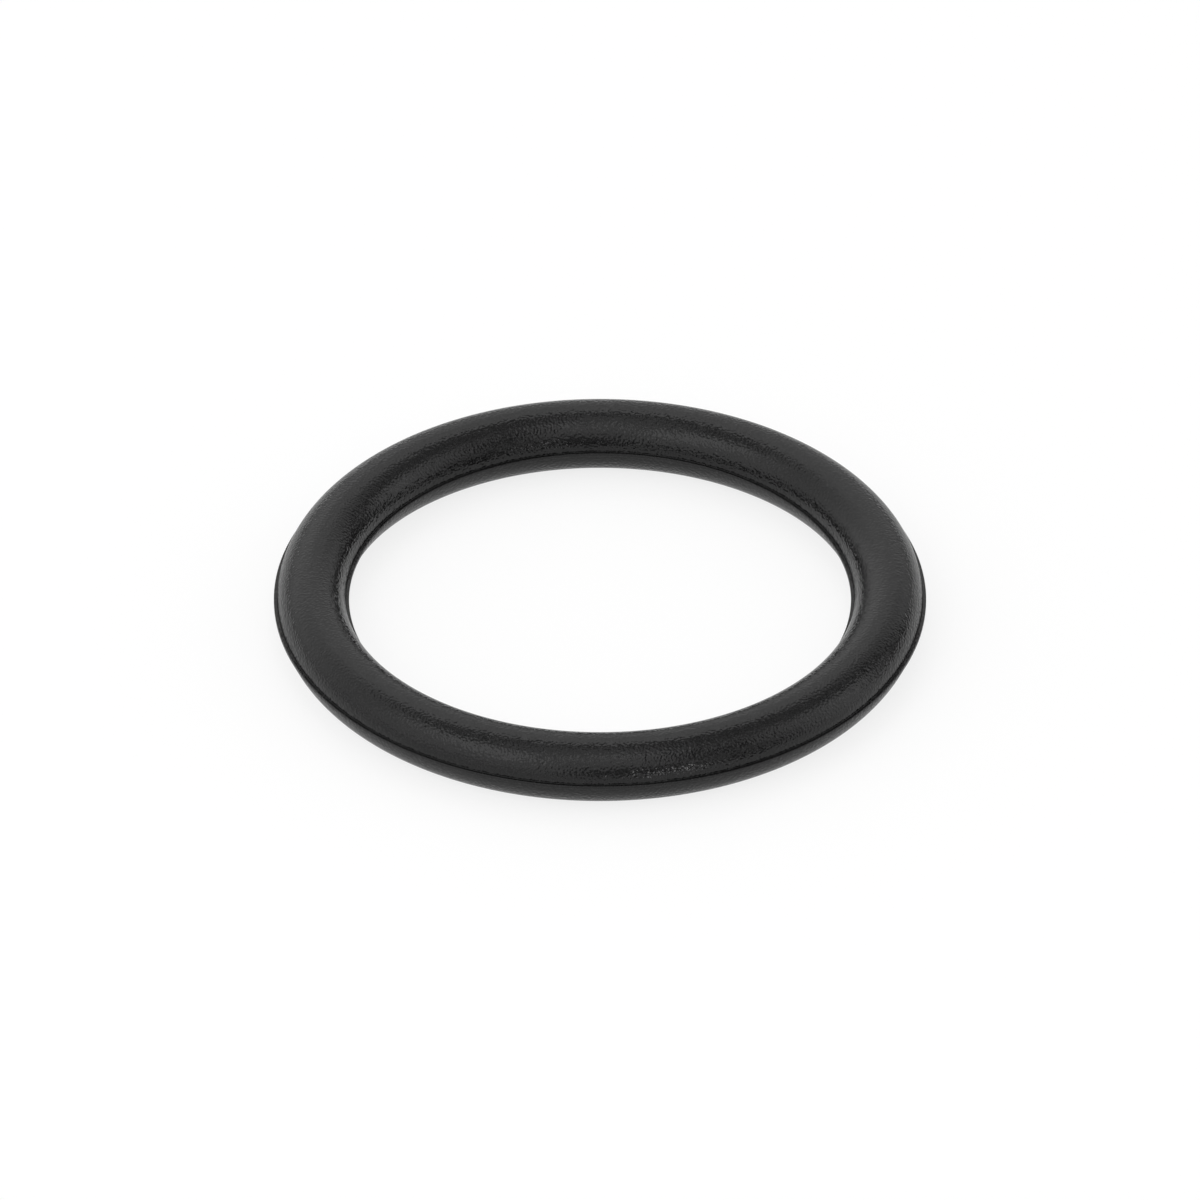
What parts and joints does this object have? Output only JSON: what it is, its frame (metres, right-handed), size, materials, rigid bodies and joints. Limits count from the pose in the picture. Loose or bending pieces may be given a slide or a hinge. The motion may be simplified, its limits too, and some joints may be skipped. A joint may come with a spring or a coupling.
{
  "type": "rubber o-ring",
  "caption": "Black moulded rubber o-ring with a round section and a fine trimmed parting line round its inside and outside.",
  "frame": {"origin": "centre of the ring, on the plane of its parting line", "axes": "+Z along the ring's axis; the ring is the same both ways up and all round, so +X and +Y are free"},
  "size_m": [0.0282, 0.0282, 0.003],
  "materials": {
    "rubber": "moulded black rubber, satin, with a fine orange-peel grain"
  },
  "bodies": {
    "root": {"o_ring": "rubber"}
  },
  "joints": []
}
